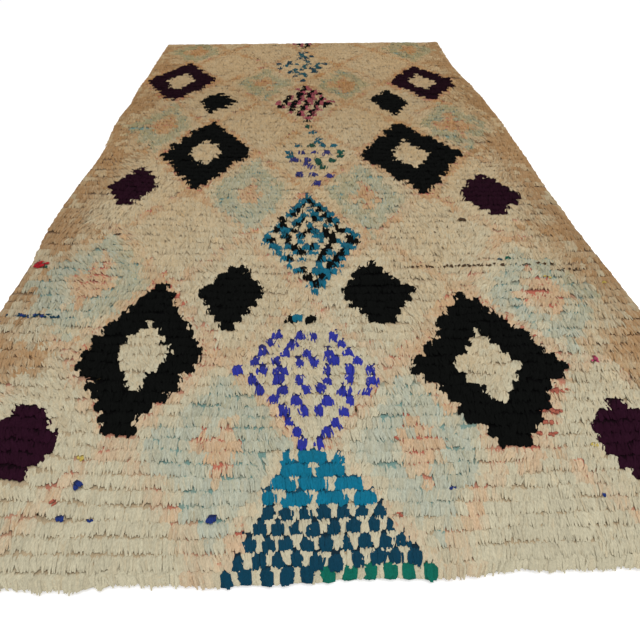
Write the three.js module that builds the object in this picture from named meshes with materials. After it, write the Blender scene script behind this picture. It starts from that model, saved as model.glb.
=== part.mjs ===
// A hand-knotted runner rug lying flat. It is one woven piece: rows of wool pile run across it,
// each row leaning over the next towards the near end, and both ends stop in a flat-woven strip.
// Millimetres, +X to the right, +Y along the rug to the far end, +Z up.
import * as THREE from "three";

// Overall size
const WIDTH = 1000;
const LENGTH = 2000;

// Flat-woven strip at each end
const END_DEPTH = 10;
const END_THICKNESS = 4;
const END_INSET = 4; // the strip is this much narrower than the pile on each side

// Pile rows, wider apart towards the far end
const ROWS = 100;
const NEAR_PITCH = 17.4;
const PITCH_GROWS = (2 * (LENGTH - 2 * END_DEPTH - ROWS * NEAR_PITCH)) / ROWS ** 2;
const LIP_DEPTH = 4; // length of the steep front of a row, below its tips
const LIP_HEIGHT = 15;
const CREASE_HEIGHT = 10; // height of the crease between two rows
const LUMP = 1.2; // how much those heights vary from place to place
const ROW_BEND = 2.5; // how far a row wanders from a straight line

// Rim of the pile along both sides
const RIM_HEIGHT = 6; // height at which the rug is widest
const RIM_ROUND = 9; // width of the rounded shoulder above it
const UNDERCUT = 5; // how far the underside stops short of the rim
const LOCK_REACH = 3; // how far the end of a row stands out
const LOCK_VARIATION = 3; // how much that differs from row to row
const LOCK_GAP = 3; // how far the rim draws in between two rows

// Points across the top of the pile
const TOP_STEPS = 10;

// How far the sides stray outwards from straight lines, along the length
const SIDES = [
  { y: -1000, left: 0, right: 0 },
  { y: -840, left: 4, right: -3 },
  { y: -650, left: -3, right: 4 },
  { y: -460, left: -2, right: 1 },
  { y: -340, left: 5, right: -3 },
  { y: -220, left: 5, right: -4 },
  { y: 20, left: -6, right: 4 },
  { y: 260, left: 7, right: 8 },
  { y: 380, left: 0, right: 7 },
  { y: 500, left: 4, right: -1 },
  { y: 620, left: 1, right: -10 },
  { y: 720, left: 1, right: -13 },
  { y: 1000, left: 0, right: -8 },
];

const WOOL = 0xd8c8a8;

const sides = new THREE.CubicInterpolant(
  SIDES.map((row) => row.y),
  SIDES.flatMap((row) => [row.left, row.right]),
  2,
);

// A steady pseudo-random value from 0 to 1 for a pair of counts.
function uneven(a, b) {
  const wave = Math.sin(a * 127.1 + b * 311.7) * 43758.5453;
  return wave - Math.floor(wave);
}

// Left and right edges of the rug at y, moved out by the two reaches.
function edges(y, leftReach, rightReach) {
  const [left, right] = sides.evaluate(y);
  return {
    left: -WIDTH / 2 - left - leftReach,
    right: WIDTH / 2 + right + rightReach,
  };
}

// The slow wander of a row along the rug, for a place across it and its own position.
function bend(x, y) {
  return ROW_BEND * Math.sin(x / 140 + y / 260) * Math.sin(y / 410 + 1);
}

// One closed cross-section, as points from the underside round the right rim and over the top.
function section(y, edge, rimHeight, shoulder, topHeight, bent) {
  const points = [
    new THREE.Vector3(edge.left + UNDERCUT, y, 0),
    new THREE.Vector3(edge.right - UNDERCUT, y, 0),
    new THREE.Vector3(edge.right, y, rimHeight),
  ];
  const first = edge.right - shoulder;
  const last = edge.left + shoulder;
  for (let step = 0; step <= TOP_STEPS; step += 1) {
    const x = THREE.MathUtils.lerp(first, last, step / TOP_STEPS);
    const shift = bent ? bend(x, y) : 0;
    points.push(new THREE.Vector3(x, y + shift, topHeight(step)));
  }
  points.push(new THREE.Vector3(edge.left, y, rimHeight));
  return points;
}

function endSection(y) {
  const edge = edges(y, -END_INSET, -END_INSET);
  return section(y, edge, END_THICKNESS / 2, UNDERCUT, () => END_THICKNESS, false);
}

// The crease in front of a row and the lip behind it.
function rowSections(row) {
  const front = -LENGTH / 2 + END_DEPTH + row * (NEAR_PITCH + (PITCH_GROWS * row) / 2);
  const lipY = front + LIP_DEPTH;
  const leftLock = LOCK_REACH + LOCK_VARIATION * (uneven(row, 1) - 0.5);
  const rightLock = LOCK_REACH + LOCK_VARIATION * (uneven(row, 2) - 0.5);
  const creaseTop = (step) => CREASE_HEIGHT + LUMP * (uneven(row, step + 10) - 0.5);
  const lipTop = (step) => LIP_HEIGHT + LUMP * 2 * (uneven(row, step + 40) - 0.5);
  const crease = section(front, edges(front, -LOCK_GAP, -LOCK_GAP), RIM_HEIGHT, RIM_ROUND, creaseTop, true);
  const lip = section(lipY, edges(lipY, leftLock, rightLock), RIM_HEIGHT, RIM_ROUND, lipTop, true);
  return [crease, lip];
}

function allSections() {
  const nearEnd = -LENGTH / 2;
  const farEnd = LENGTH / 2;
  const sections = [endSection(nearEnd), endSection(nearEnd + END_DEPTH - LIP_DEPTH)];
  for (let row = 0; row < ROWS; row += 1) {
    sections.push(...rowSections(row));
  }
  sections.push(endSection(farEnd - END_DEPTH), endSection(farEnd));
  return sections;
}

// Joins the sections into one closed skin, with a fan of triangles at each end.
function loft(sections) {
  const around = sections[0].length;
  const position = sections.flat().flatMap((point) => point.toArray());
  const index = [];
  for (let band = 0; band + 1 < sections.length; band += 1) {
    for (let side = 0; side < around; side += 1) {
      const next = (side + 1) % around;
      const a = band * around + side;
      const b = band * around + next;
      index.push(a, b + around, b);
      index.push(a, a + around, b + around);
    }
  }
  const farStart = (sections.length - 1) * around;
  for (let side = 1; side + 1 < around; side += 1) {
    index.push(0, side, side + 1);
    index.push(farStart, farStart + side + 1, farStart + side);
  }
  const geometry = new THREE.BufferGeometry();
  geometry.setAttribute("position", new THREE.Float32BufferAttribute(position, 3));
  geometry.setIndex(index);
  return geometry;
}

// Puts the middle of the rug's own box over the origin.
function centred(geometry) {
  geometry.computeBoundingBox();
  const middle = geometry.boundingBox.getCenter(new THREE.Vector3());
  geometry.translate(-middle.x, -middle.y, 0);
  geometry.computeVertexNormals();
  return geometry;
}

const rug = new THREE.Mesh(
  centred(loft(allSections())),
  new THREE.MeshStandardMaterial({ color: WOOL, roughness: 0.95 }),
);
rug.name = "rug";

const part = new THREE.Group();
part.add(rug);

export default part;
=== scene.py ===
"""A hand-knotted wool runner rug lying flat: a woven ground with rows of leaning pile."""

import math

import bpy
import numpy as np
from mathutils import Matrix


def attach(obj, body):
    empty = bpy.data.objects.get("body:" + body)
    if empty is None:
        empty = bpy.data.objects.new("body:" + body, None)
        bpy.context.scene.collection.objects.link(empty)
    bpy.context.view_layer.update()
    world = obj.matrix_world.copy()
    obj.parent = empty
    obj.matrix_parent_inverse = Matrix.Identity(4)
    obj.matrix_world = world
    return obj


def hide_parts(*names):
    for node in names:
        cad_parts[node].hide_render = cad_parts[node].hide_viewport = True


MM = 0.001

# Size of the rug, in metres
WIDTH = 1.0
LENGTH = 2.0
GROUND_TOP = 0.003

# Knots: rows along the rug, wider apart towards the far end, and tufts in a row
ROWS = 100
FIRST_ROOT = -0.980
LAST_ROOT = 0.990
NEAR_PITCH = 0.0174
PITCH_GROWS = 2 * (LAST_ROOT - FIRST_ROOT - (ROWS - 1) * NEAR_PITCH) / (ROWS - 1) ** 2
USUAL_PITCH = 0.0189
TUFTS = 96
TUFT_PITCH = WIDTH / TUFTS
SIDE_MARGIN = 0.001

# A tuft shows this far ahead of its root
SHOWN_AHEAD = 0.0185

# How far rows stray from straight lines: a slow bend, a tilt and bow across the rug, and a wander.
# Tables along the rug, here and below, hold pairs of y in metres and value.
ROW_BEND = 0.0025
BEND_WAVES = (0.140, 0.260, 0.410)
ROW_TILT = -0.042
ROW_BOW = 0.078
BOW_SHARE = ((-1.0, 0.0), (-0.86, 1.0), (-0.2, 1.0), (0.5, 0.4), (1.0, 0.0))
ROW_WANDER = 0.0016
WANDER_WAVE = 0.14
WANDER_SEED = 41

# How far chance moves a root, and its freedom: at the sides, and more for each tuft inwards
ROOT_SHIFT_ACROSS = 0.0006
ROOT_SHIFT_ALONG = 0.0011
ROOT_SHIFT_MOST = 0.002
FREE_AT_SIDES = 0.2
FREER_INWARDS = 0.16

# How far tufts and strands stray, as a share of the usual: least at the near, combed end
WILDNESS = ((-0.98, 0.55), (-0.88, 0.72), (-0.72, 1.15), (-0.45, 1.3), (-0.1, 1.35), (0.5, 1.25))

# Slow waves over the rug: scale across and along in metres, and seed
WAVES = {
    "tone": (0.05, 0.09, 3),
    "flow": (0.04, 0.06, 5),
    "dye": (0.02, 0.012, 9),
    "curl": (0.02, 0.03, 13),
    "lattice": (0.015, 0.02, 31),
    "edge": (0.015, 0.02, 37),
}

# A tuft is a broad lobe that leans forward from its root, with plies of yarn lying along it
# and loose hairs over them, which reach past the tip on to the next row.
LOBE = np.array((
    # share of length, then in mm: reach, height, half width, drop at the sides
    (0.00, 0.0, 3.0, 5.5, 0.2),
    (0.10, 2.8, 10.0, 6.8, 0.4),
    (0.30, 8.5, 10.8, 7.0, 0.6),
    (0.50, 14.5, 11.8, 7.2, 0.9),
    (0.72, 21.0, 12.5, 7.4, 1.1),
    (0.90, 26.3, 12.4, 7.2, 1.1),
    (1.00, 29.2, 11.8, 6.6, 1.0),
    (1.15, 33.0, 11.0, 5.6, 1.0),
))
# Share of length, then sink in mm: the last ring closes the tip
LOBE_RINGS = ((0.00, 0.0), (0.10, 0.0), (0.80, 0.0), (1.03, 2.4))
LOBE_ACROSS = (-1.0, 0.0, 1.0)
# How far the tip's sides stay back, in mm, and over which shares of the length
TIP_ROUND = 2.6
TIP_ROUND_OVER = (0.6, 1.0)
PLIES = 3
PLY_SPREAD = 0.72
PLY = (
    # share of length, then in mm: half width, lift above the lobe, drop at its sides
    (0.30, 2.2, -0.8, 0.6),
    (0.58, 2.9, 0.6, 1.0),
    (0.88, 2.8, 0.7, 1.0),
    (1.05, 1.3, 0.0, 0.5),
)
PLY_ACROSS = (-1.0, 0.0, 1.0)
HAIRS = 8
HAIR_SPREAD = 0.86
HAIR = (
    # share of length, then in mm: reach, height, half width
    (0.45, 12.8, 10.8, 0.8),
    (0.72, 21.0, 13.0, 1.2),
    (0.97, 28.5, 12.9, 1.15),
    (1.17, 34.2, 12.1, 0.7),
)
HAIR_ACROSS = (-1.0, 1.0)
LOBE_POINTS = len(LOBE_RINGS) * len(LOBE_ACROSS)
PLY_POINTS = len(PLY) * len(PLY_ACROSS)
HAIR_POINTS = len(HAIR) * len(HAIR_ACROSS)
POINTS = LOBE_POINTS + PLIES * PLY_POINTS + HAIRS * HAIR_POINTS

# The most tufts in one piece
PIECE_TUFTS = 2000

# Map of a tuft: start and width of the lobe's strip and of all the strands' strips, half width of
# a strand in its strip, and start and length along
LOBE_STRIP = (0.04, 0.20)
STRAND_STRIPS = (0.28, 0.70)
STRIP_HALF = 0.38
STRIP_ALONG = (0.06, 0.70)

# How tufts, plies and hairs stray by chance: turn and curl sideways, height, and length as a share
TUFT_TURN = 0.05
TUFT_CURL = 2.5 * MM
CURL_BY_WAVE = 0.6
CURL_BY_CHANCE = 0.35
CURL_FROM = 0.35
CURL_OVER = 0.7
STRAND_TURN = 0.10
STRAND_CURL = 1.25 * MM
STRAND_WAVE = 5.0
STRAND_RISE = 0.25 * MM
STRAND_TILT = 0.24 * MM
STRAND_LONGER = 0.07
TUFT_LONGER = 0.045
TUFT_HIGHER = 0.03

# Chance is cut off at this many times its usual size
TUFT_MOST = 2.0
STRAND_MOST = 2.2

# How long hairs are, as a share of the usual
HAIR_LENGTH = ((-0.9, 0.96), (-0.7, 1.0), (-0.2, 1.1), (0.3, 1.18))

# How far ahead of its root the tip of a usual tuft lies
TIP_REACH = 29.2 * MM

# How far the tips of the first row hang over the end, over which shares of the length, and how
# much shorter they are
END_DROOP = 6.0 * MM
END_DROOP_OVER = (0.55, 1.05)
FIRST_ROW_SHORTER = 0.20

# The last row shows its back, which is faded down to the ground by this much more
LAST_ROW_FADED = 0.9

# How far slow waves turn the pile, in radians, and the shares of it inside the rug and for bold yarns
FLOW = ((-0.95, 0.14), (-0.75, 0.24), (-0.5, 0.44), (0.0, 0.34), (1.0, 0.28))
FLOW_INSIDE = 0.45
BOLD_FLOW = 0.35

# How much the pile leans towards the middle line, in radians for each metre from it
INWARD_LEAN = ((-0.94, 1.07), (-0.67, 0.83), (-0.23, 0.59), (0.37, 0.43))

# Where rows part, the tips draw back and lift, and the dyed roots show below them; that darker
# colour is partly the roots' own dye and partly painted shade along the row creases.
# The last table holds pairs of row and share.
PARTING_WAVE = 0.16
PARTING_SEED = 21
PARTING_FROM = 0.5
PARTING_SHORTER = 0.05
PARTING_LIFT = 0.3 * MM
PARTING_LIFT_OVER = (0.5, 1.0)
PARTING_ROOT_AND_SHADE = 0.18
PARTING_BY_ROW = ((18, 1.0), (28, 2.3))

# How far the root's dye goes up, as a share of the length: in all, on each kind of strand, by slow
# waves, by chance on each strand, and by chance where faded yarns show their roots
USUAL_DYE = -0.10
LOBE_DYE = 0.40
PLY_SIDE_DYE = 0.12
HAIR_DYE = -0.1
DYE_WAVE = 0.05
STRAND_DYE = 0.05
ROOT_SHOWS = 0.45
BLUE_ROOT_SHOWS = 0.6

# Tone from 0, palest, at the near end to 1, darker and browner, at the far end: partly the wool's
# own uneven dye and partly painted shade for the light that falls off towards the far end; and how
# it strays by slow waves, tufts and strands
TONE_AND_SHADE_ALONG = ((-0.95, 0.0), (-0.33, 0.5), (0.19, 0.85), (0.56, 0.95), (1.0, 1.0))
TONE_WAVE = 0.08
TUFT_TONE = 0.05
STRAND_TONE = 0.10

# Brightness along the rug, painted light and shade: lighter towards the far end, standing in for the
# lamp's light that falls off there, and a little darker around y 0.3 to 0.5, standing in for the
# crease shade that the longer hairs there cover; how brightness strays by tufts and strands, and the
# darker sides: how much, how far inwards, and the share of it along the rug
PAINTED_LIGHT_ALONG = ((-0.2, 1.0), (0.3, 0.95), (0.5, 0.95), (0.75, 1.09))
TUFT_SHADE = 0.035
STRAND_SHADE = 0.032
SIDE_SHADE = 0.16
SIDE_SHADE_REACH = 0.12
SIDE_SHADE_SHARE = ((-0.75, 0.0), (-0.55, 1.0), (-0.2, 1.0), (0.0, 0.0))

# How the strength of the faded dyes strays by tufts and strands
TUFT_STRENGTH = 0.08
STRAND_STRENGTH = 0.16

# A stray is a few small locks that look out from below the tips of a row, spread by some mm
STRAY_SIZES = (0.14, 0.27)
STRAY_LOCKS = 3
STRAY_SPREAD = 2.4
STRAY_TURN = 0.5
STRAY_SEAT = 9.8 * MM
STRAY_PAST_TIP = 3.5 * MM
STRAY_TIP_SHIFT = 1.0 * MM

# How far the sides stray outwards from straight lines, in mm
SIDES = (
    # y, left, right
    (-1000, 0, 0),
    (-840, 4, -3),
    (-650, -3, 4),
    (-460, -2, 1),
    (-340, 5, -3),
    (-220, 5, -4),
    (20, -6, 4),
    (260, 7, 8),
    (380, 0, 7),
    (500, 4, -1),
    (620, 1, -10),
    (720, 1, -13),
    (1000, 0, -8),
)

# The lattice of diamonds: half sizes of a cell in metres, and the share that its lines take
CELL_WIDE = 0.123
CELL_LONG = 0.172
LINE_SHARE = 0.26

# The lines' dye: how ragged, how soon it is full, how strong, and by slow waves
LINE_RAGGED = 0.15
LINE_GAIN = 2
LINE_DYE = 0.6
LINE_DYE_WAVE = 0.35

# Cells of the lattice without a motif: middle x and y in mm
BARE_CELLS = (
    (-254, 1060), (240, 1060), (-130, 888), (116, 888),
    (-254, 716), (240, 716), (-136, 193), (122, 185),
    (-245, -339), (239, -347), (-253, -979), (247, -972),
)

# Motifs: kind, middle x and y, half width, half length in mm, share that is open in the middle
MOTIFS = (
    ("camel", -505, 1060, 120, 150, 0),
    ("pink_speckle", -6, 1060, 80, 150, 0),
    ("camel", 495, 1060, 120, 150, 0),
    ("blue_ring", -384, 888, 90, 150, 0.45),
    ("blue_ring", 372, 888, 90, 150, 0.45),
    ("camel", -505, 716, 120, 150, 0),
    ("teal_dabs", -6, 716, 86, 161, 0),
    ("camel", 495, 710, 120, 150, 0),
    ("plum", -390, 565, 105, 188, 0.45),
    ("blue_ring", -128, 532, 81, 156, 0.46),
    ("blue_ring", 112, 513, 83, 147, 0.56),
    ("plum", 360, 525, 99, 168, 0.45),
    ("camel", -508, 360, 115, 150, 0),
    ("black", -262, 369, 52, 88, 0),
    ("pink_speckle", -9, 361, 86, 155, 0),
    ("black", 236, 354, 55, 100, 0),
    ("camel", 508, 355, 115, 160, 0),
    ("blue_ring", -386, 193, 86, 164, 0.44),
    ("blue_ring", 384, 177, 94, 164, 0.50),
    ("camel", -505, 10, 120, 150, 0),
    ("black", -251, 24, 106, 194, 0.40),
    ("many_dabs", 3, 4, 85, 195, 0),
    ("black", 238, -3, 119, 199, 0.40),
    ("camel", 508, 25, 135, 205, 0),
    ("plum", -386, -142, 54, 85, 0),
    ("blue_ring", -136, -182, 88, 164, 0.36),
    ("blue_ring", 109, -206, 78, 164, 0.38),
    ("plum", 374, -211, 62, 90, 0),
    ("camel", -508, -330, 125, 150, 0),
    ("teal_rings", -8, -367, 89, 166, 0),
    ("camel", 505, -345, 120, 150, 0),
    ("blue_ring", -386, -495, 105, 150, 0.46),
    ("black", -141, -531, 58, 86, 0),
    ("black", 97, -536, 61, 86, 0),
    ("blue_ring", 372, -550, 91, 148, 0.48),
    ("camel", -505, -680, 130, 150, 0),
    ("black", -262, -658, 92, 163, 0),
    ("cobalt_rings", -21, -715, 90, 145, 0),
    ("black", 236, -690, 109, 155, 0),
    ("camel", 500, -685, 125, 150, 0),
    ("opening", -262, -673, 41, 73, 0),
    ("opening", 237, -712, 52, 73, 0),
    ("plum", -387, -825, 50, 63, 0),
    ("blue_ring", -136, -836, 88, 133, 0.38),
    ("blue_ring", 114, -846, 81, 130, 0.44),
    ("plum", 383, -844, 48, 61, 0),
    ("camel", -505, -985, 120, 140, 0),
    ("three_bands", -5, -995, 108, 193, 0),
    ("camel", 500, -985, 120, 140, 0),
)

# Ringed motifs: a letter for each ring of tufts from the outline inwards, shares of the tufts that
# are kept and that swap rings, share of the usual width, and how many rows in a column are alike
LETTERS = {"C": "cobalt", "T": "teal", "B": "black", "D": "petrol"}
RINGS = {
    "cobalt_rings": ("C..C..C..", 0.95, 0.06, 0.88, 1),
    "teal_rings": ("TB.TB.TB.", 0.92, 0.15, 0.88, 1),
    "teal_dabs": ("D.T.D.T.D", 0.5, 0.3, 1.0, 2),
}
RING_HAIR = 0.95

# The cobalt rings stop short of both points of their diamond, at these y
COBALT_TOP = -0.6265
COBALT_FOOT = -0.848

# Speckled motifs: yarns and their width, share of tufts kept, share moved on by one
SPECKLE_SWELL = {"black": 0.95, "pink": 0.72}
SPECKLE_KEPT = 0.97
SPECKLE_SHIFTED = 0.1

# Motif of many dabs: yarns and their shares above and below its middle, how far the two mix,
# width of a dab, and how often it takes in the tuft ahead
UPPER_DABS = (("teal", 0.60), ("green", 0.18), ("cobalt", 0.12))
LOWER_DABS = (("cobalt", 0.66), ("green", 0.20), ("teal", 0.04))
DAB_MIX = 0.03
DAB_SWELL = 1.1
DAB_GROWS = 0.25

# How ragged outlines are, as a share of the motif's size
FUZZ = {"blue_ring": 0.09, "camel": 0.16, "black": 0.018, "plum": 0.018}
USUAL_FUZZ = 0.02

# How blunt the points of the dark motifs are: 1 is a diamond and 2 an ellipse
BLUNT = 1.04
SMALL_PLUM_BLUNT = 1.22

# Dark motifs up to this y narrow more slowly below their widest line, by a factor. In large ones,
# from this half width, that line lies below the middle.
FOOT_UP_TO = -0.4
FOOT = 1.2
POINTED_FOOT = 1.11
LOW_WAIST = 0.022
LARGE_FROM = 0.08

# How far a motif leans sideways towards the near end, for each metre
LEAN = {"cobalt_rings": 0.05, "three_bands": 0.10}

# Peach edge of the large dark motifs: reach as a share of theirs, dye, and that by slow waves
PEACH_EDGE = 1.15
PEACH_EDGE_DYE = 0.75
PEACH_EDGE_WAVE = 0.3

# Faded motifs: dye at the outline, and how far in it is full. Camel ones: full dye, and the same.
OUTLINE_DYE = 0.4
FADED_IN = 0.16
CAMEL_DYE = 0.95
CAMEL_IN = 0.45

# Brown sides: from full to none inwards, from none to full along the rug, the least that shows,
# and the share of it on the left
SIDE_BROWN_IN = (0.01, 0.10)
SIDE_BROWN_ALONG = (-0.75, -0.45)
SIDE_BROWN_LEAST = 0.05
SIDE_BROWN_LEFT = 0.95

# The nearest motif has a flat top and three bands, with dots of cream
BANDS_TOP = -0.849
TEAL_DOWN_TO = -0.920
PETROL_DOWN_TO = -0.990
GREEN_FROM_X = -0.01
BAND_SWELL = 1.10
BAND_HAIR = 0.92
BAND_LONGER = 1.06
DOT_HAIR = 0.8

# Single tufts of another yarn: yarn, x and y in mm
SINGLES = (("black", -48, -598), ("teal", -38, -598), ("black", -8, -598))

# Strays: yarn, x and y in mm, size as a share of the usual
STRAYS = (
    ("navy", -290, -889, 1.5), ("navy", -294, -925, 1.5),
    ("navy", -263, -930, 1.0), ("navy", -127, -935, 1.5),
    ("navy", 137, -909, 1.0), ("navy", 311, -926, 1.0),
    ("scarlet", -487, -452, 1.6), ("scarlet", -484, -452, 1.6),
    ("scarlet", -481, -452, 1.6), ("scarlet", -478, -452, 1.6),
    ("green", -469, -452, 1.0), ("red", -304, -904, 1.0),
    ("red", 88, -838, 1.0), ("red", 76, -942, 1.0),
    ("olive", -295, -852, 1.0), ("olive", 386, -512, 1.0),
    ("olive", 436, -512, 1.0), ("olive", 480, -514, 1.0),
    ("brown", 289, -322, 1.5), ("brown", 222, -349, 1.0),
    ("brown", -367, -335, 1.0), ("olive", 327, -853, 1.0),
    ("pink", 384, -702, 1.5), ("petrol", 322, -454, 1.0),
    ("green", 339, -458, 1.0), ("red", -185, -432, 1.0),
    ("red", 324, -657, 1.0), ("red", 308, -773, 1.0),
    ("red", 297, -792, 0.9), ("red", 296, -806, 1.1),
    ("red", 286, -824, 1.0), ("red", 277, -838, 0.9),
)

# Thin lines of stray yarn along a row: yarn, x from and to, y in mm
THREADS = (
    ("navy", -503, -432, -584), ("petrol", -484, -380, -584),
    ("brown", 160, 330, -462), ("brown", 350, 460, -478),
    ("red", 312, 326, -757), ("red", 304, 318, -773),
    ("red", 295, 309, -792), ("red", 287, 303, -808),
    ("red", 278, 296, -824), ("red", 268, 288, -840),
)
THREAD_STEP = 3
THREAD_KEPT = 0.92
THREAD_SIZES = (0.15, 0.27)

# Yarns: tip near, tip far, root, all as screen colours from 0 to 255, and the record's slot. The
# darker, browner far tips are partly painted shade for the light that falls off towards the far end.
YARNS = {
    "cream": ((196, 188, 161), (195, 166, 123), (183, 163, 131), "cream_wool"),
    "peach": ((203, 176, 144), (179, 132, 79), (185, 103, 83), "peach_wool"),
    "pale_blue": ((181, 184, 166), (159, 147, 105), (115, 147, 139), "pale_blue_wool"),
    "camel": ((180, 145, 106), (164, 124, 78), (120, 86, 54), "peach_wool"),
    "black": ((15, 16, 15), (15, 16, 15), (10, 10, 10), "black_wool"),
    "plum": ((44, 18, 33), (33, 14, 22), (27, 13, 20), "aubergine_wool"),
    "cobalt": ((43, 50, 154), (44, 44, 86), (22, 25, 88), "bright_wool"),
    "teal": ((8, 110, 139), (15, 76, 83), (6, 71, 93), "bright_wool"),
    "petrol": ((8, 59, 80), (10, 54, 66), (6, 37, 52), "bright_wool"),
    "green": ((10, 103, 86), (18, 59, 44), (10, 64, 52), "bright_wool"),
    "pink": ((193, 76, 113), (152, 74, 76), (125, 47, 59), "bright_wool"),
    "navy": ((32, 52, 115), (32, 52, 115), (22, 35, 76), "bright_wool"),
    "red": ((173, 98, 78), (166, 88, 69), (134, 61, 49), "bright_wool"),
    "scarlet": ((188, 32, 42), (188, 32, 42), (120, 22, 27), "bright_wool"),
    "olive": ((198, 176, 91), (198, 168, 76), (144, 122, 52), "bright_wool"),
    "brown": ((78, 57, 37), (78, 57, 37), (57, 40, 27), "black_wool"),
}
NAMES = tuple(YARNS)
DARK_YARNS = ("black", "plum")
PALE_YARNS = ("cream", "peach", "pale_blue", "camel")

# Tufts of the bold yarns stand higher and stray less, with shorter hairs on and just behind them
BOLD_SEAT = 0.5 * MM
BOLD_WILD = 0.85
BOLD_HAIR = 0.85
HAIR_OVER_BOLD = 0.66

# Finish: gloss and sheen of the dark yarns and of all the others, and roughness
DARK_FINISH = (0.02, 0.0)
WOOL_FINISH = (0.1, 0.05)
ROUGHNESS = 0.95
SHEEN_ROUGHNESS = 0.6

# Shares of a tuft's length between which the root's dye gives way to the tip's
FADE = (0.28, 0.50)

# Fibres: how fine across and along, the noise's range and the grain's, depth in metres
FIBRES = (1100.0, 260.0)
FIBRE_DETAIL = 3.0
GRAIN = (0.3, 0.7, 0.86, 1.12)
FIBRE_BUMP = 0.0006
BUMP_STRENGTH = 0.5

# Ground: screen colours, fibres, and how far it lies inside the pile
GROUND_COLOURS = ((137, 115, 81), (185, 161, 122))
GROUND_FIBRES = (500.0, 1500.0)
GROUND_BUMP = 0.001
GROUND_INSET = 0.006
GROUND_NEAR_INSET = 0.008
GROUND_PLACES = 81
GROUND_STEPS = 8

# White floor just below the rug
FLOOR_SIZE = 30
FLOOR_HEIGHT = -0.0003
FLOOR_COLOUR = (0.96, 0.96, 0.96, 1)
FLOOR_GLOW = 0.4

# Light
WHITE = (1.0, 1.0, 1.0, 1.0)
SKY_STRENGTH = 0.46
LAMP_SIZE = 3.0
LAMP_ENERGY = 67
LAMP_PLACE = (0.5, -1.2, 3.0)
LAMP_TURN = (math.radians(15), math.radians(8), 0)

# Camera
LENS = 31.5
SENSOR = 36.0
CAMERA_PLACE = (-0.0236, -1.262, 0.566)
CAMERA_DOWN = math.radians(40.194)
CAMERA_RIGHT = math.radians(2.0764)
CLIP_START = 0.01

SEED = 11
rng = np.random.default_rng(SEED)


def linear(colour):
    """Screen colour from 0 to 255 as scene-linear values."""
    share = np.asarray(colour, dtype=float) / 255.0
    low = share / 12.92
    high = ((share + 0.055) / 1.055) ** 2.4
    return tuple(np.where(share <= 0.04045, low, high))


def from_table(place, table):
    """The value at a place, from a table of places and values."""
    places, values = np.array(table).T
    return np.interp(place, places, values)


def field(x, y, name):
    """A slow wave over the rug, from about -1 to 1."""
    wide, long, seed = WAVES[name]
    dice = np.random.default_rng(seed)
    total = np.zeros_like(x)
    for _ in range(6):
        turn = dice.uniform(0, 2 * math.pi)
        phase = dice.uniform(0, 2 * math.pi)
        stretch = dice.uniform(0.7, 1.5)
        total += np.sin(stretch * (x / wide * math.cos(turn) + y / long * math.sin(turn)) + phase)
    return total / 3.0


def row_wave(x, row, wide, seed):
    """A slow wave along each row, its own for every row, from about -1 to 1."""
    dice = np.random.default_rng(seed)
    total = np.zeros_like(x)
    for _ in range(4):
        phase = dice.uniform(0, 2 * math.pi, ROWS + 1)
        length = wide * dice.uniform(0.5, 1.8, ROWS + 1)
        total += np.sin(2 * math.pi * x / length[row] + phase[row])
    return total / 2.0


def smooth(low, high, value):
    """From 0 at low to 1 at high, eased at both."""
    share = np.clip((value - low) / (high - low), 0, 1)
    return share * share * (3 - 2 * share)


def side_at(y, column):
    """How far a side strays outwards at y, eased between the table's rows."""
    table = np.array(SIDES, dtype=float) * MM
    place = np.clip(np.searchsorted(table[:, 0], y, side="right") - 1, 0, len(table) - 2)
    share = smooth(table[place, 0], table[place + 1, 0], y)
    return table[place, column] * (1 - share) + table[place + 1, column] * share


def left_edge(y):
    return -WIDTH / 2 - side_at(y, 1)


def right_edge(y):
    return WIDTH / 2 + side_at(y, 2)


def from_side(x, y):
    """Distance inwards from the nearer side."""
    return np.minimum(x - left_edge(y), right_edge(y) - x)


def bend(x, y):
    across, along, slower = BEND_WAVES
    return ROW_BEND * np.sin(x / across + y / along) * np.sin(y / slower + 1)


def bow(x, y):
    """How far a row tilts and bows back at x, least near the two ends of the rug."""
    return from_table(y, BOW_SHARE) * (ROW_TILT * x + ROW_BOW * x**2)


def row_place(row):
    """How far a row's roots lie behind those of the first row."""
    return row * (NEAR_PITCH + PITCH_GROWS * row / 2)


def row_length(row):
    """How long a row's tufts are, as a share of the usual length."""
    return (NEAR_PITCH + PITCH_GROWS * row) / USUAL_PITCH


def row_tip(row):
    """Where the tips of a row lie, before it bends and bows."""
    return FIRST_ROOT + row_place(row) - TIP_REACH * row_length(row)


def lay_out_tufts():
    """Row, column and root place of every tuft."""
    row = np.repeat(np.arange(ROWS), TUFTS)
    column = np.tile(np.arange(TUFTS), ROWS)
    y = FIRST_ROOT + row_place(row)
    share = (column + 0.5) / TUFTS
    x = (left_edge(y) + SIDE_MARGIN) * (1 - share) + (right_edge(y) - SIDE_MARGIN) * share
    loose = freedom(column) * from_table(y, WILDNESS)
    x = x + rng.normal(0, ROOT_SHIFT_ACROSS, x.size) * loose
    y = y + bow(x, y) + bend(x, y) + ROW_WANDER * row_wave(x, row, WANDER_WAVE, WANDER_SEED)
    shift = rng.normal(0, ROOT_SHIFT_ALONG, x.size)
    y = y + np.clip(shift, -ROOT_SHIFT_MOST, ROOT_SHIFT_MOST) * loose
    return row, column, x, y


def freedom(column):
    """How far chance may move a tuft: from little at the sides of the rug to 1 inside it."""
    inward = np.minimum(column, TUFTS - 1 - column)
    return np.clip(FREE_AT_SIDES + FREER_INWARDS * inward, 0, 1)


def nearest_cells(x, y):
    """Lattice distance to the nearest cell and the second nearest."""
    reach = []
    cells = [motif[1:3] for motif in MOTIFS if motif[0] != "opening"]
    for mid_x, mid_y in (*BARE_CELLS, *cells):
        reach.append(np.abs(x - mid_x * MM) / CELL_WIDE + np.abs(y - mid_y * MM) / CELL_LONG)
    reach = np.sort(np.array(reach), axis=0)
    return reach[0], reach[1]


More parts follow.
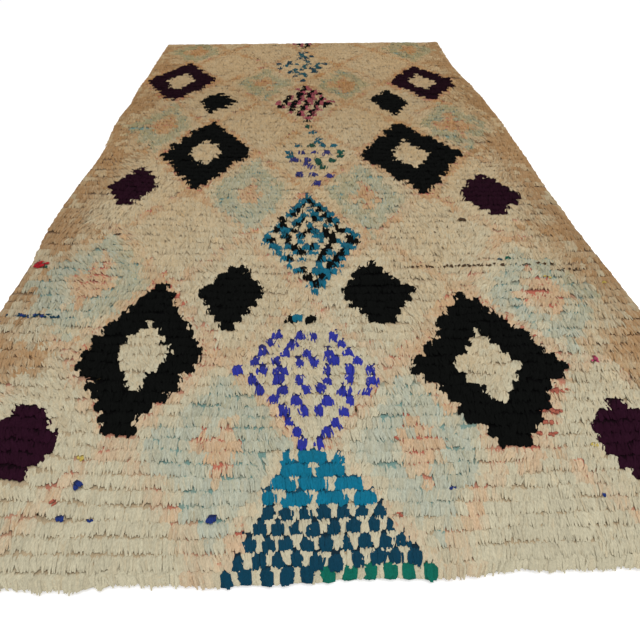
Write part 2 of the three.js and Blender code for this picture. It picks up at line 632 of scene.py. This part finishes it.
def bare_cloth(count):
    """Yarn of every tuft, its dye and the shares for its form, before any painting."""
    shares = {name: np.ones(count) for name in ("strength", "swell", "hair", "length")}
    return {"yarn": np.zeros(count, dtype=int), "dye": np.zeros(count), **shares}


def paint(cloth, where, name, strength=1.0, swell=1.0, hair=None, length=1.0):
    """Give these tufts a yarn; bold yarns have shorter hairs unless told otherwise."""
    cloth["yarn"][where] = NAMES.index(name)
    cloth["strength"][where] = np.broadcast_to(strength, where.shape)[where]
    cloth["swell"][where] = swell
    usual = 1.0 if name in PALE_YARNS else BOLD_HAIR
    cloth["hair"][where] = usual if hair is None else hair
    cloth["length"][where] = length


def grown(where, chance):
    """These tufts and, by chance, the ones just ahead of them."""
    grid = where.reshape(ROWS, TUFTS)
    ahead = np.zeros_like(grid)
    ahead[:-1] = grid[1:]
    return where | (ahead.ravel() & (rng.random(where.size) < chance))


def alike_rows(values, rows):
    """Values of the tufts, made alike down each column in bands of that many rows."""
    first = np.arange(ROWS) // rows * rows
    return values.reshape(ROWS, TUFTS)[first].ravel()


def paint_dabs(cloth, inside, dabs):
    """Small dabs inside a motif take one of these yarns, by chance."""
    chance = rng.random(inside.size)
    start = 0.0
    for name, share in dabs:
        chosen = grown(inside & (chance >= start) & (chance < start + share), DAB_GROWS)
        paint(cloth, chosen, name, swell=DAB_SWELL, hair=RING_HAIR)
        start += share


def tufts_deep(row, column, mid_x, mid_y, half_wide, half_long, lean):
    """How many tufts inside a diamond's outline each tuft lies, in its own row."""
    y = FIRST_ROOT - SHOWN_AHEAD + row_place(row)
    middle = np.round((mid_x + lean * (mid_y - y) + WIDTH / 2) / TUFT_PITCH - 0.5)
    return half_wide / TUFT_PITCH * (1 - np.abs(y - mid_y) / half_long) - np.abs(column - middle)


def paint_rings(cloth, kind, inside, deep):
    """Rings of dabs, from the outline inwards."""
    letters, share_kept, share_swapped, swell, rows = RINGS[kind]
    ring = np.round(deep).astype(int)
    swapped = rng.random(inside.size) < share_swapped
    ring = alike_rows(ring + rng.integers(-1, 2, inside.size) * swapped, rows)
    kept = rng.random(inside.size) < share_kept
    for number, letter in enumerate(letters):
        if letter in LETTERS:
            here = inside & (ring == number) & kept
            paint(cloth, here, LETTERS[letter], swell=swell, hair=RING_HAIR)


def paint_many_dabs(cloth, inside, row, column, y, mid_y):
    """Dabs in a loose repeat, mostly teal above the middle and mostly cobalt below it."""
    dabbed = inside & (row % 2 == 0) & ((column + row // 2) % 3 == 0)
    upper = y > mid_y + DAB_MIX * rng.normal(0, 1, y.size)
    paint_dabs(cloth, dabbed & upper, UPPER_DABS)
    paint_dabs(cloth, dabbed & ~upper, LOWER_DABS)


def paint_speckle(cloth, inside, row, column):
    """Pink and black tufts in slanting lines, with cream between them."""
    shifted = rng.random(row.size) < SPECKLE_SHIFTED
    place = (column + 2 * (row // 2) + shifted) % 3
    kept = inside & (rng.random(row.size) < SPECKLE_KEPT)
    for number, (name, swell) in enumerate(SPECKLE_SWELL.items()):
        paint(cloth, kept & (place == number), name, swell=swell, hair=RING_HAIR)


def paint_three_bands(cloth, inside, row, column, x, y):
    """Bands of teal, petrol and green, with dots of cream in a small repeat."""
    inside = inside & (y < BANDS_TOP)
    top = inside & (y > TEAL_DOWN_TO)
    middle = inside & (y <= TEAL_DOWN_TO) & ((y > PETROL_DOWN_TO) | (x < GREEN_FROM_X))
    low = inside & (y <= PETROL_DOWN_TO) & (x >= GREEN_FROM_X)
    for band, name in ((top, "teal"), (middle, "petrol"), (low, "green")):
        paint(cloth, band, name, swell=BAND_SWELL, hair=BAND_HAIR, length=BAND_LONGER)
    dots = top & ((column + 2 * row) % 4 == 0)
    dots = dots | ((middle | low) & ((column + row) % 2 == 0))
    paint(cloth, dots, "cream", hair=DOT_HAIR)


def faded(inwards):
    """Strength of the dye, from weak at an outline to full inside it."""
    return OUTLINE_DYE + (1 - OUTLINE_DYE) * smooth(0, FADED_IN, inwards)


def motif_reach(kind, mid_x, mid_y, half_wide, half_long, x, y):
    """How far out places lie, 1 at the motif's outline, and which lie within its length."""
    dark = kind in DARK_YARNS
    large = half_wide > LARGE_FROM
    blunt = BLUNT if dark else 1.0
    if kind == "plum" and not large:
        blunt = SMALL_PLUM_BLUNT
    across = np.abs(x - mid_x - LEAN.get(kind, 0.0) * (mid_y - y)) / half_wide
    along = np.abs(y - mid_y) / half_long
    within = along < 1
    if dark and mid_y < FOOT_UP_TO:
        low = LOW_WAIST if large else 0.0
        foot = POINTED_FOOT if large and mid_x < 0 else FOOT
        rise = y - mid_y + low
        along = np.where(rise < 0, -rise / (half_long - low) / foot, rise / (half_long + low))
    return (across**blunt + along**blunt) ** (1 / blunt), within


def paint_dark(cloth, kind, reach, inside, opening, x, y, large):
    """A dark motif with a cream opening; a large one has a peach edge."""
    if large:
        edge = (reach < PEACH_EDGE) & is_yarn(cloth, PALE_YARNS)
        dye = PEACH_EDGE_DYE + PEACH_EDGE_WAVE * field(x, y, "edge")
        paint(cloth, edge, "peach", strength=dye)
    paint(cloth, inside, kind)
    paint(cloth, reach < opening, "cream")


def paint_motif(cloth, motif, row, column, x, y):
    kind, *sizes, opening = motif
    mid_x, mid_y, half_wide, half_long = np.array(sizes) * MM
    reach, within = motif_reach(kind, mid_x, mid_y, half_wide, half_long, x, y)
    reach = reach + rng.normal(0, FUZZ.get(kind, USUAL_FUZZ), x.size)
    inside = (reach < 1) & within
    if kind in DARK_YARNS:
        paint_dark(cloth, kind, reach, inside, opening, x, y, half_wide > LARGE_FROM)
    elif kind == "opening":
        paint(cloth, inside, "cream")
    elif kind == "camel":
        paint(cloth, inside, "camel", strength=CAMEL_DYE * smooth(0, CAMEL_IN, 1 - reach))
    elif kind == "blue_ring":
        paint(cloth, inside, "pale_blue", strength=faded(np.minimum(1 - reach, reach - opening)))
        paint(cloth, reach < opening, "peach", strength=faded(opening - reach))
    elif kind == "three_bands":
        paint_three_bands(cloth, inside, row, column, x, y)
    elif kind == "pink_speckle":
        paint_speckle(cloth, inside, row, column)
    elif kind == "many_dabs":
        paint_many_dabs(cloth, inside, row, column, y, mid_y)
    else:
        lean = LEAN.get(kind, 0.0)
        deep = tufts_deep(row, column, mid_x, mid_y, half_wide, half_long, lean)
        inside = deep > -0.5
        if kind == "cobalt_rings":
            inside = inside & (y < COBALT_TOP) & (y > COBALT_FOOT)
        paint(cloth, inside, "cream")
        paint_rings(cloth, kind, inside, deep)


def paint_sides(cloth, x, y):
    """The sides are a little browner, but for the near end."""
    brown = (1 - smooth(*SIDE_BROWN_IN, from_side(x, y))) * smooth(*SIDE_BROWN_ALONG, y)
    share = np.where(x > 0, 1.0, SIDE_BROWN_LEFT)
    paint(cloth, brown > SIDE_BROWN_LEAST, "camel", strength=share * brown)


def paint_singles(cloth, x, y):
    """The tuft nearest to each of the places takes its yarn."""
    for name, mid_x, mid_y in SINGLES:
        away = np.hypot(x - mid_x * MM, y - mid_y * MM)
        paint(cloth, away == away.min(), name)


def is_yarn(cloth, names):
    return np.isin(cloth["yarn"], [NAMES.index(name) for name in names])


def trim_beside_bold(cloth):
    """Pale tufts just behind bold ones have short hairs, so that the bold outlines stay clean."""
    pale = is_yarn(cloth, PALE_YARNS)
    bold = ~pale.reshape(ROWS, TUFTS)
    over = np.zeros_like(bold)
    over[1:] |= bold[:-1]
    over[1:, 1:] |= bold[:-1, :-1]
    over[1:, :-1] |= bold[:-1, 1:]
    over[:, 1:] |= bold[:, :-1]
    over[:, :-1] |= bold[:, 1:]
    trimmed = pale & over.ravel()
    cloth["hair"][trimmed] = np.minimum(cloth["hair"][trimmed], HAIR_OVER_BOLD)


def paint_cloth(row, column, x, y):
    """The painted cloth, for the places where the tufts show."""
    cloth = bare_cloth(x.size)
    first, second = nearest_cells(x, y)
    nearness = 1 - (second - first) / LINE_SHARE + rng.normal(0, LINE_RAGGED, x.size)
    patchy = LINE_DYE + LINE_DYE_WAVE * field(x, y, "lattice")
    paint(cloth, nearness > 0, "peach", strength=np.clip(LINE_GAIN * nearness, 0, 1) * patchy)
    paint_sides(cloth, x, y)
    for motif in MOTIFS:
        paint_motif(cloth, motif, row, column, x, y)
    paint_singles(cloth, x, y)
    cloth["strength"] = np.clip(cloth["strength"] + rng.normal(0, TUFT_STRENGTH, x.size), 0, 1)
    shows = ROOT_SHOWS * cloth["strength"] * rng.random(x.size) ** 2
    peach = is_yarn(cloth, ("peach",))
    blue = is_yarn(cloth, ("pale_blue",))
    cloth["dye"] = shows * (peach + BLUE_ROOT_SHOWS * blue)
    trim_beside_bold(cloth)
    return cloth


def lobe_at(along):
    """Reach, height, half width and drop of the lobe at that share of the length."""
    return [np.interp(along, LOBE[:, 0], LOBE[:, column]) for column in range(1, 5)]


def spread(count, share):
    """Places across the lobe for that many strands."""
    return ((np.arange(count) + 0.5) / count * 2 - 1) * share


def tuft_form():
    """The points of one tuft, in mm: along, reach, height, side, across, strand, edge.

    Strand is -1 on the lobe, then counts the plies and the hairs; edge is the side of the strand.
    """
    points = []
    for along, sink in LOBE_RINGS:
        reach, height, half_wide, drop = lobe_at(along)
        for across in LOBE_ACROSS:
            top = height - drop * across**2 - sink
            points.append((along, reach, top, across * half_wide, across, -1, 0))
    for ply, across in enumerate(spread(PLIES, PLY_SPREAD)):
        for along, half_wide, lift, drop in PLY:
            reach, height, lobe_wide, lobe_drop = lobe_at(along)
            top = height - lobe_drop * across**2 + lift
            for edge in PLY_ACROSS:
                side = across * lobe_wide + edge * half_wide
                points.append((along, reach, top - drop * edge**2, side, across, ply, edge))
    for hair, across in enumerate(spread(HAIRS, HAIR_SPREAD)):
        for along, reach, height, half_wide in HAIR:
            lobe_wide, lobe_drop = lobe_at(along)[2:]
            top = height - lobe_drop * across**2
            for edge in HAIR_ACROSS:
                side = across * lobe_wide + edge * half_wide
                points.append((along, reach, top, side, across, PLIES + hair, edge))
    return np.array(points)


def tuft_chance(count):
    return np.clip(rng.normal(0, 1, count), -TUFT_MOST, TUFT_MOST)


def strand_chances(count, strand, kinds):
    """Random values for each kind, tuft and point: alike along a strand, and 0 on the lobe."""
    chances = rng.normal(0, 1, (kinds, count, PLIES + HAIRS + 1))
    chances = np.clip(chances, -STRAND_MOST, STRAND_MOST)
    chances[:, :, PLIES + HAIRS] = 0
    return chances[:, :, strand]


def pile_heading(x, y, bold):
    """Which way the pile lies, in radians from straight ahead."""
    outward = FLOW_INSIDE + (1 - FLOW_INSIDE) * np.clip(2 * np.abs(x) / WIDTH, 0, 1)
    swirl = from_table(y, FLOW) * outward * field(x, y, "flow")
    return swirl * np.where(bold, BOLD_FLOW, 1.0) - from_table(y, INWARD_LEAN) * x


def tuft_points(x, y, heading, size, seat, swell, length, hair_length, loose, parting, first):
    """Points of all tufts, as an array of tuft, point and axis."""
    along, reach, height, form_side, across, strand, edge = tuft_form().T
    strand = strand.astype(int)
    turn, curl, past, rise, tilt = strand_chances(x.size, strand, 5) * loose[:, None]
    heading = heading + TUFT_TURN * tuft_chance(x.size) * loose
    longer = 1 + TUFT_LONGER * tuft_chance(x.size) * loose
    longer = longer - PARTING_SHORTER * parting - FIRST_ROW_SHORTER * first
    longer = (longer * length)[:, None] + STRAND_LONGER * past
    longer = longer * np.where(strand >= PLIES, hair_length[:, None], 1.0)
    higher = 1 + rng.normal(0, TUFT_HIGHER, x.size)
    ahead = (reach - TIP_ROUND * across**2 * smooth(*TIP_ROUND_OVER, along)) * MM * longer
    lock_curl = CURL_BY_WAVE * field(x, y, "curl") + CURL_BY_CHANCE * tuft_chance(x.size)
    lock_curl = TUFT_CURL * lock_curl * loose / from_table(y, WILDNESS)
    bulge = np.sin(math.pi * np.clip((along - CURL_FROM) / CURL_OVER, 0, 1))
    side = form_side * MM * swell[:, None] + lock_curl[:, None] * bulge
    side = side + STRAND_TURN * turn * ahead
    side = side + STRAND_CURL * curl * np.sin(STRAND_WAVE * (along - CURL_FROM))
    up = height * MM * higher[:, None] + STRAND_RISE * rise + STRAND_TILT * tilt * edge
    up = up + PARTING_LIFT * parting[:, None] * smooth(*PARTING_LIFT_OVER, along)
    up = up - END_DROOP * first[:, None] * smooth(*END_DROOP_OVER, along)
    ahead = ahead * size[:, None]
    side = side * size[:, None]
    point_x = x[:, None] + side * np.cos(heading)[:, None] + ahead * np.sin(heading)[:, None]
    point_y = y[:, None] + side * np.sin(heading)[:, None] - ahead * np.cos(heading)[:, None]
    point_z = seat[:, None] + up * size[:, None]
    return np.stack((point_x, point_y, point_z), axis=2)


def grid_faces(start, rings, wide):
    """Quads of a grid of points, ring by ring."""
    faces = []
    for ring in range(rings - 1):
        for step in range(wide - 1):
            a = start + ring * wide + step
            faces.append((a, a + wide, a + wide + 1, a + 1))
    return faces


def tuft_faces():
    """The quads of one tuft, as point numbers."""
    faces = grid_faces(0, len(LOBE_RINGS), len(LOBE_ACROSS))
    for ply in range(PLIES):
        faces += grid_faces(LOBE_POINTS + ply * PLY_POINTS, len(PLY), len(PLY_ACROSS))
    start = LOBE_POINTS + PLIES * PLY_POINTS
    for hair in range(HAIRS):
        faces += grid_faces(start + hair * HAIR_POINTS, len(HAIR), len(HAIR_ACROSS))
    return np.array(faces)


def tuft_map():
    """Map place of each point of a tuft: the lobe left, the strands in strips right."""
    along, _, _, _, across, strand, edge = tuft_form().T
    lobe = LOBE_STRIP[0] + LOBE_STRIP[1] * (across + 1) / 2
    share = (strand + 0.5 + STRIP_HALF * edge) / (PLIES + HAIRS)
    u = np.where(strand < 0, lobe, STRAND_STRIPS[0] + STRAND_STRIPS[1] * share)
    v = STRIP_ALONG[0] + STRIP_ALONG[1] * along
    return u, v


def tuft_uv(count):
    """Corner values of the map, one cell for each tuft."""
    grid = math.ceil(math.sqrt(count))
    corners = tuft_faces().ravel()
    u, v = tuft_map()
    cell = np.arange(count)
    across = (cell % grid)[:, None] + u[corners][None, :]
    along = (cell // grid)[:, None] + v[corners][None, :]
    return np.stack((across, along), axis=2).reshape(-1) / grid


def point_values(mesh, name, values):
    layer = mesh.attributes.new(name, "FLOAT", "POINT")
    layer.data.foreach_set("value", values.astype(np.float32).ravel())


def new_object(name, data):
    thing = bpy.data.objects.new(name, data)
    bpy.context.collection.objects.link(thing)
    return thing


def pile_piece(name, points, values, material):
    """One mesh of many tufts, with a value for each point under each name in values."""
    count = len(points)
    faces = tuft_faces()
    loops = (np.arange(count)[:, None] * POINTS + faces.reshape(1, -1)).ravel()
    mesh = bpy.data.meshes.new(name)
    mesh.vertices.add(count * POINTS)
    mesh.vertices.foreach_set("co", points.astype(np.float32).ravel())
    mesh.loops.add(loops.size)
    mesh.loops.foreach_set("vertex_index", loops.astype(np.int32))
    mesh.polygons.add(loops.size // 4)
    mesh.polygons.foreach_set("loop_start", np.arange(0, loops.size, 4, dtype=np.int32))
    mesh.polygons.foreach_set("use_smooth", np.ones(loops.size // 4, dtype=bool))
    mesh.uv_layers.new(name="OFBake").data.foreach_set("uv", tuft_uv(count).astype(np.float32))
    for value_name, value in values.items():
        point_values(mesh, value_name, value)
    mesh.update(calc_edges=True)
    mesh.validate()
    mesh.materials.append(material)
    return new_object(name, mesh)


def add_node(tree, kind, **settings):
    node = tree.nodes.new(kind)
    for name, value in settings.items():
        setattr(node, name, value)
    return node


def set_inputs(node, values):
    for name, value in values.items():
        node.inputs[name].default_value = value


def attribute(tree, name):
    return add_node(tree, "ShaderNodeAttribute", attribute_name=name).outputs["Fac"]


def mix_colour(tree, factor, first, second):
    """A colour mix; first and second are colours or sockets."""
    node = add_node(tree, "ShaderNodeMix", data_type="RGBA")
    tree.links.new(factor, node.inputs["Factor"])
    for socket, value in ((node.inputs[6], first), (node.inputs[7], second)):
        if isinstance(value, tuple):
            socket.default_value = (*value, 1.0)
        else:
            tree.links.new(value, socket)
    return node.outputs[2]


def map_range(tree, value, low, high, to_low, to_high):
    """A value from low to high, eased to the other two."""
    node = add_node(tree, "ShaderNodeMapRange", interpolation_type="SMOOTHSTEP")
    tree.links.new(value, node.inputs["Value"])
    set_inputs(node, {"From Min": low, "From Max": high, "To Min": to_low, "To Max": to_high})
    return node.outputs["Result"]


def fibre_noise(tree, across, along):
    """Fine noise drawn out along the pile."""
    place = add_node(tree, "ShaderNodeTexCoord").outputs["Object"]
    stretch = add_node(tree, "ShaderNodeMapping")
    set_inputs(stretch, {"Scale": (across, along, across)})
    tree.links.new(place, stretch.inputs["Vector"])
    noise = add_node(tree, "ShaderNodeTexNoise")
    set_inputs(noise, {"Scale": 1.0, "Detail": FIBRE_DETAIL})
    tree.links.new(stretch.outputs["Vector"], noise.inputs["Vector"])
    return noise.outputs["Fac"]


def shaded(tree, colour, *factors):
    """The colour times each of the factors."""
    for factor in factors:
        node = add_node(tree, "ShaderNodeVectorMath", operation="SCALE")
        tree.links.new(colour, node.inputs[0])
        tree.links.new(factor, node.inputs["Scale"])
        colour = node.outputs["Vector"]
    return colour


def new_material(name, gloss, sheen):
    """A rough material, with its node tree and its shader."""
    material = bpy.data.materials.new(name)
    material.use_nodes = True
    tree = material.node_tree
    shader = tree.nodes["Principled BSDF"]
    set_inputs(shader, {"Roughness": ROUGHNESS, "Specular IOR Level": gloss})
    set_inputs(shader, {"Sheen Weight": sheen, "Sheen Roughness": SHEEN_ROUGHNESS})
    return material, tree, shader


def bump(tree, shader, height, distance):
    node = add_node(tree, "ShaderNodeBump")
    set_inputs(node, {"Strength": BUMP_STRENGTH, "Distance": distance})
    tree.links.new(height, node.inputs["Height"])
    tree.links.new(node.outputs["Normal"], shader.inputs["Normal"])


def wool(name):
    """Pile yarn: dyed at the root, faded towards the tip, and darker where the tone says."""
    tip_near, tip_far, root = YARNS[name][:3]
    finish = DARK_FINISH if name in DARK_YARNS else WOOL_FINISH
    material, tree, shader = new_material(name + "_wool", *finish)
    tone = attribute(tree, "tone")
    # The far tips' darker tone is partly painted shade for the light falling off towards the far end
    tip = mix_colour(tree, tone, linear(tip_near), linear(tip_far))
    root = linear(root)
    if name in PALE_YARNS:
        plain_near, plain_far, plain_root = YARNS["cream"][:3]
        strength = attribute(tree, "strength")
        plain_tip = mix_colour(tree, tone, linear(plain_near), linear(plain_far))
        tip = mix_colour(tree, strength, plain_tip, tip)
        root = mix_colour(tree, strength, linear(plain_root), root)
    height = add_node(tree, "ShaderNodeMath", operation="SUBTRACT")
    tree.links.new(attribute(tree, "along"), height.inputs[0])
    tree.links.new(attribute(tree, "dye"), height.inputs[1])
    fade = map_range(tree, height.outputs[0], *FADE, 0.0, 1.0)
    colour = mix_colour(tree, fade, root, tip)
    fibres = fibre_noise(tree, *FIBRES)
    grain = map_range(tree, fibres, *GRAIN)
    # The shade value holds painted light and shade along the rug as well as random brightness
    colour = shaded(tree, colour, attribute(tree, "shade"), grain)
    tree.links.new(colour, shader.inputs["Base Color"])
    bump(tree, shader, fibres, FIBRE_BUMP)
    return material


def parting_at(x, row):
    """How far a row stands apart from the one ahead: from 0 to 1, and to more further off."""
    wave = row_wave(x, row, PARTING_WAVE, PARTING_SEED)
    return from_table(row, PARTING_BY_ROW) * np.clip(wave - PARTING_FROM, 0, 1)


def all_strays():
    """Yarn, x and y in mm, and size of each lock of the strays and the thin lines."""
    locks = []
    for name, x, y, share in STRAYS:
        for _ in range(STRAY_LOCKS):
            beside = rng.normal(0, STRAY_SPREAD)
            locks.append((name, x + beside, y, share * rng.uniform(*STRAY_SIZES)))
    for name, start, end, y in THREADS:
        for x in range(start, end, THREAD_STEP):
            if rng.random() < THREAD_KEPT:
                beside = rng.normal(0, STRAY_SPREAD)
                locks.append((name, x + beside, y, rng.uniform(*THREAD_SIZES)))
    return locks


def add_strays(row, column, x, y, cloth):
    """The tufts with the locks of the strays after them, and the size and seat of each."""
    names, lock_x, lock_y, lock_size = zip(*all_strays())
    count = len(names)
    lock_x = np.array(lock_x) * MM
    lock_y = np.array(lock_y) * MM
    lock_size = np.array(lock_size)
    added = bare_cloth(count)
    added["yarn"] = np.array([NAMES.index(name) for name in names])
    for key in cloth:
        cloth[key] = np.append(cloth[key], added[key])
    size = np.append(np.ones(x.size), lock_size)
    seat = np.append(np.zeros(x.size), np.full(count, STRAY_SEAT))
    tips = row_tip(np.arange(ROWS))
    lock_y = lock_y - bow(lock_x, lock_y)
    lock_row = np.abs(lock_y[:, None] - tips[None, :]).argmin(axis=1)
    lock_tip = tips[lock_row] + bow(lock_x, lock_y) + bend(lock_x, lock_y)
    lock_tip = lock_tip - STRAY_PAST_TIP + rng.normal(0, STRAY_TIP_SHIFT, count)
    x = np.append(x, lock_x)
    y = np.append(y, lock_tip + TIP_REACH * lock_size)
    row = np.append(row, np.full(count, ROWS))
    column = np.append(column, np.full(count, TUFTS // 2))
    return row, column, x, y, size, seat


def tuft_values(x, y, row, cloth):
    """Tone, shade, dye, strength and along for each point."""
    along, _, _, _, _, strand, edge = tuft_form().T
    strand = strand.astype(int)
    own_tone, own_shade, own_dye, own_strength = strand_chances(x.size, strand, 4)
    # Tone along the rug, partly painted shade for the light falling off towards the far end
    tone = from_table(y, TONE_AND_SHADE_ALONG) + TONE_WAVE * field(x, y, "tone")
    tone = tone + rng.normal(0, TUFT_TONE, x.size)
    side = 1 - smooth(0.0, SIDE_SHADE_REACH, from_side(x, y))
    # Painted light and shade along the rug, then a random brightness for each tuft
    shade = from_table(y, PAINTED_LIGHT_ALONG) + rng.normal(0, TUFT_SHADE, x.size)
    shade = shade - SIDE_SHADE * side * from_table(y, SIDE_SHADE_SHARE)
    behind = np.minimum(row + 1, ROWS)
    # More root colour where the row behind parts: partly the roots' own dye, partly painted crease
    # shade
    dye = DYE_WAVE * field(x, y, "dye") + USUAL_DYE + PARTING_ROOT_AND_SHADE * parting_at(x, behind)
    dye = dye - LAST_ROW_FADED * (row == ROWS - 1)
    strand_dye = np.where(strand < PLIES, PLY_SIDE_DYE * edge**2, HAIR_DYE)
    deep = np.where(strand < 0, LOBE_DYE, strand_dye)
    strength = cloth["strength"][:, None] + STRAND_STRENGTH * own_strength
    return {
        "along": np.broadcast_to(along, (x.size, along.size)),
        "tone": tone[:, None] + STRAND_TONE * own_tone,
        "shade": shade[:, None] + STRAND_SHADE * own_shade,
        "dye": (dye + cloth["dye"])[:, None] + deep + STRAND_DYE * own_dye,
        "strength": np.clip(strength, 0, 1),
    }


def make_pieces(cloth, points, values):
    """The pieces of pile, a yarn at a time, with the largest yarns in several along the rug."""
    pieces = []
    for number, name in enumerate(NAMES):
        chosen = np.flatnonzero(cloth["yarn"] == number)
        if chosen.size == 0:
            continue
        material = wool(name)
        parts = np.array_split(chosen, math.ceil(chosen.size / PIECE_TUFTS))
        for part_number, part in enumerate(parts):
            title = f"pile_{name}" if len(parts) == 1 else f"pile_{name}_{part_number + 1}"
            own = {value_name: value[part] for value_name, value in values.items()}
            piece = pile_piece(title, points[part], own, material)
            pieces.append(piece)
    return pieces


def make_pile():
    """Lay out, paint and shape all tufts, and return their pieces."""
    row, column, x, y = lay_out_tufts()
    cloth = paint_cloth(row, column, x, y - SHOWN_AHEAD)
    cloth["length"] = cloth["length"] * row_length(row)
    row, column, x, y, size, seat = add_strays(row, column, x, y, cloth)
    bold = ~is_yarn(cloth, PALE_YARNS)
    seat = seat + np.where(bold, BOLD_SEAT, 0.0)
    firm = freedom(column)
    loose = firm * from_table(y, WILDNESS) * np.where(bold, BOLD_WILD, 1.0)
    hair_length = from_table(y, HAIR_LENGTH) * cloth["hair"]
    heading = pile_heading(x, y, bold) * firm + rng.normal(0, STRAY_TURN, x.size) * (size < 1)
    form = (size, seat, cloth["swell"], cloth["length"], hair_length, loose)
    points = tuft_points(x, y, heading, *form, parting_at(x, row), row == 0)
    return make_pieces(cloth, points, tuft_values(x, y, row, cloth))


def ground_weave():
    material, tree, shader = new_material("ground_weave", *WOOL_FINISH)
    noise = fibre_noise(tree, *GROUND_FIBRES)
    dark, pale = GROUND_COLOURS
    colour = mix_colour(tree, noise, linear(dark), linear(pale))
    tree.links.new(colour, shader.inputs["Base Color"])
    bump(tree, shader, noise, GROUND_BUMP)
    return material


def ground_points():
    """Points of the ground, in columns along the rug: the top and then the underside."""
    y = np.linspace(-LENGTH / 2 + GROUND_NEAR_INSET, LENGTH / 2, GROUND_PLACES)
    left = left_edge(y) + GROUND_INSET
    right = right_edge(y) - GROUND_INSET
    points = []
    for height in (GROUND_TOP, 0.0):
        for step in range(GROUND_STEPS + 1):
            share = step / GROUND_STEPS
            x = left * (1 - share) + right * share
            points.append(np.stack((x, y, np.full_like(y, height)), axis=1))
    return np.concatenate(points).tolist()


def ground_faces():
    """Quads of the ground: top and underside, both sides, both ends."""
    count = GROUND_PLACES
    layer = (GROUND_STEPS + 1) * count
    faces = grid_faces(0, GROUND_STEPS + 1, count)
    faces += [quad[::-1] for quad in grid_faces(layer, GROUND_STEPS + 1, count)]
    for place in range(count - 1):
        faces.append((place, place + 1, layer + place + 1, layer + place))
        other = GROUND_STEPS * count + place
        faces.append((other + 1, other, layer + other, layer + other + 1))
    for step in range(GROUND_STEPS):
        a = step * count
        faces.append((a + count, a, layer + a, layer + a + count))
        b = a + count - 1
        faces.append((b, b + count, layer + b + count, layer + b))
    return faces


def make_ground():
    """The woven ground, a closed thin slab a little inside the pile."""
    mesh = bpy.data.meshes.new("ground")
    mesh.from_pydata(ground_points(), [], ground_faces())
    mesh.update()
    mesh.materials.append(ground_weave())
    piece = new_object("ground", mesh)
    return piece


def make_floor():
    bpy.ops.mesh.primitive_plane_add(size=FLOOR_SIZE, location=(0, 0, FLOOR_HEIGHT))
    floor = bpy.context.object
    floor.name = "floor"
    material, _, shader = new_material("floor_paint", 0.0, 0.0)
    set_inputs(shader, {"Base Color": FLOOR_COLOUR, "Roughness": 1.0})
    set_inputs(shader, {"Emission Color": WHITE, "Emission Strength": FLOOR_GLOW})
    floor.data.materials.append(material)


def make_light():
    world = bpy.data.worlds.new("studio")
    bpy.context.scene.world = world
    world.use_nodes = True
    back = world.node_tree.nodes["Background"]
    set_inputs(back, {"Color": WHITE, "Strength": SKY_STRENGTH})
    lamp = bpy.data.lights.new("softbox", "AREA")
    lamp.shape = "RECTANGLE"
    lamp.size = LAMP_SIZE
    lamp.size_y = LAMP_SIZE
    lamp.energy = LAMP_ENERGY
    box = new_object("softbox", lamp)
    box.location = LAMP_PLACE
    box.rotation_euler = LAMP_TURN


def make_camera():
    lens = bpy.data.cameras.new("camera")
    lens.sensor_width = SENSOR
    lens.lens = LENS
    lens.clip_start = CLIP_START
    camera = new_object("camera", lens)
    camera.location = CAMERA_PLACE
    camera.rotation_euler = (math.radians(90) - CAMERA_DOWN, 0, -CAMERA_RIGHT)
    bpy.context.scene.camera = camera


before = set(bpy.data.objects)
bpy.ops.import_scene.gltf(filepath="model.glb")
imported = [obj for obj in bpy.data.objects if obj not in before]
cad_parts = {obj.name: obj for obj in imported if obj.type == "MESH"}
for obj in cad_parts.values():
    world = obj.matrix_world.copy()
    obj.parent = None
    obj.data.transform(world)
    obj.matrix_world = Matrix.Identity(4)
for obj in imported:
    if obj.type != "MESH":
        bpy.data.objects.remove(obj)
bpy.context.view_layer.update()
make_camera()
make_light()
make_floor()
ground = make_ground()
pile = make_pile()
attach(ground, "root")
for piece in pile:
    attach(piece, "root")
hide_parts("rug")
bpy.context.scene.view_settings.view_transform = "Standard"
